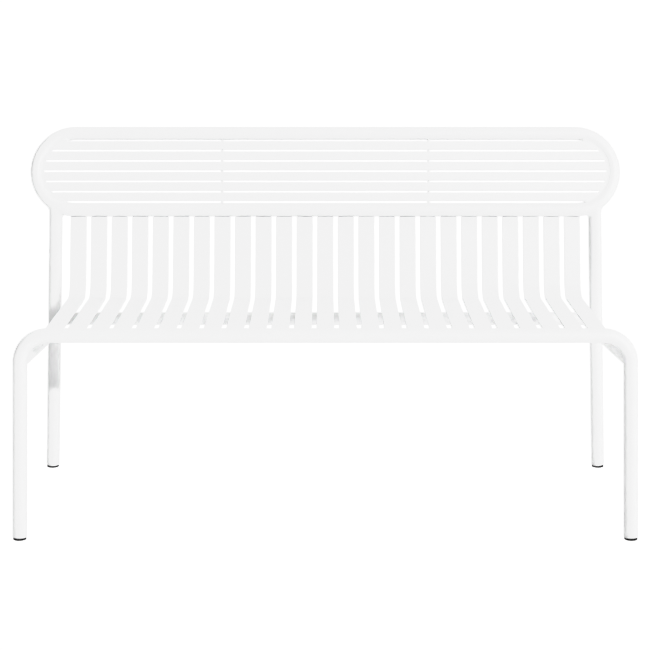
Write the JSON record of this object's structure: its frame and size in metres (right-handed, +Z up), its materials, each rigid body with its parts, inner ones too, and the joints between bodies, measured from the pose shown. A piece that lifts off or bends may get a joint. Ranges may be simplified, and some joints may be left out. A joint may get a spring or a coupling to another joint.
{
  "type": "garden bench",
  "caption": "Garden bench with a bent tube front frame, slats that sweep from the seat up to a rounded, slatted back ring, and black plastic feet.",
  "frame": {"origin": "on the ground, at the centre of the bench's bounding box", "axes": "+X along the bench to the right as seen from the front, +Y from the front to the back, +Z up"},
  "size_m": [1.2679, 0.5723, 0.776],
  "materials": {
    "white_coat": "satin white powder coat over welded aluminium tube and flat bar",
    "black_plastic": "matt black moulded polymer"
  },
  "bodies": {
    "root": {"front_leg_frame": "white_coat", "rear_leg_left": "white_coat", "rear_leg_right": "white_coat", "side_rail_left": "white_coat", "side_rail_right": "white_coat", "rear_crossbar": "white_coat", "back_ring": "white_coat", "back_slat_1": "white_coat", "back_slat_2": "white_coat", "back_slat_3": "white_coat", "back_slat_4": "white_coat", "back_slat_5": "white_coat", "back_slat_6": "white_coat", "back_strut_left": "white_coat", "back_strut_right": "white_coat", "seat_slat_01": "white_coat", "seat_slat_02": "white_coat", "seat_slat_03": "white_coat", "seat_slat_04": "white_coat", "seat_slat_05": "white_coat", "seat_slat_06": "white_coat", "seat_slat_07": "white_coat", "seat_slat_08": "white_coat", "seat_slat_09": "white_coat", "seat_slat_10": "white_coat", "seat_slat_11": "white_coat", "seat_slat_12": "white_coat", "seat_slat_13": "white_coat", "seat_slat_14": "white_coat", "seat_slat_15": "white_coat", "seat_slat_16": "white_coat", "seat_slat_17": "white_coat", "seat_slat_18": "white_coat", "seat_slat_19": "white_coat", "seat_slat_20": "white_coat", "seat_slat_21": "white_coat", "seat_slat_22": "white_coat", "seat_slat_23": "white_coat", "seat_slat_24": "white_coat", "seat_slat_25": "white_coat", "front_foot_left": "black_plastic", "front_foot_right": "black_plastic", "rear_foot_left": "black_plastic", "rear_foot_right": "black_plastic"}
  },
  "joints": []
}
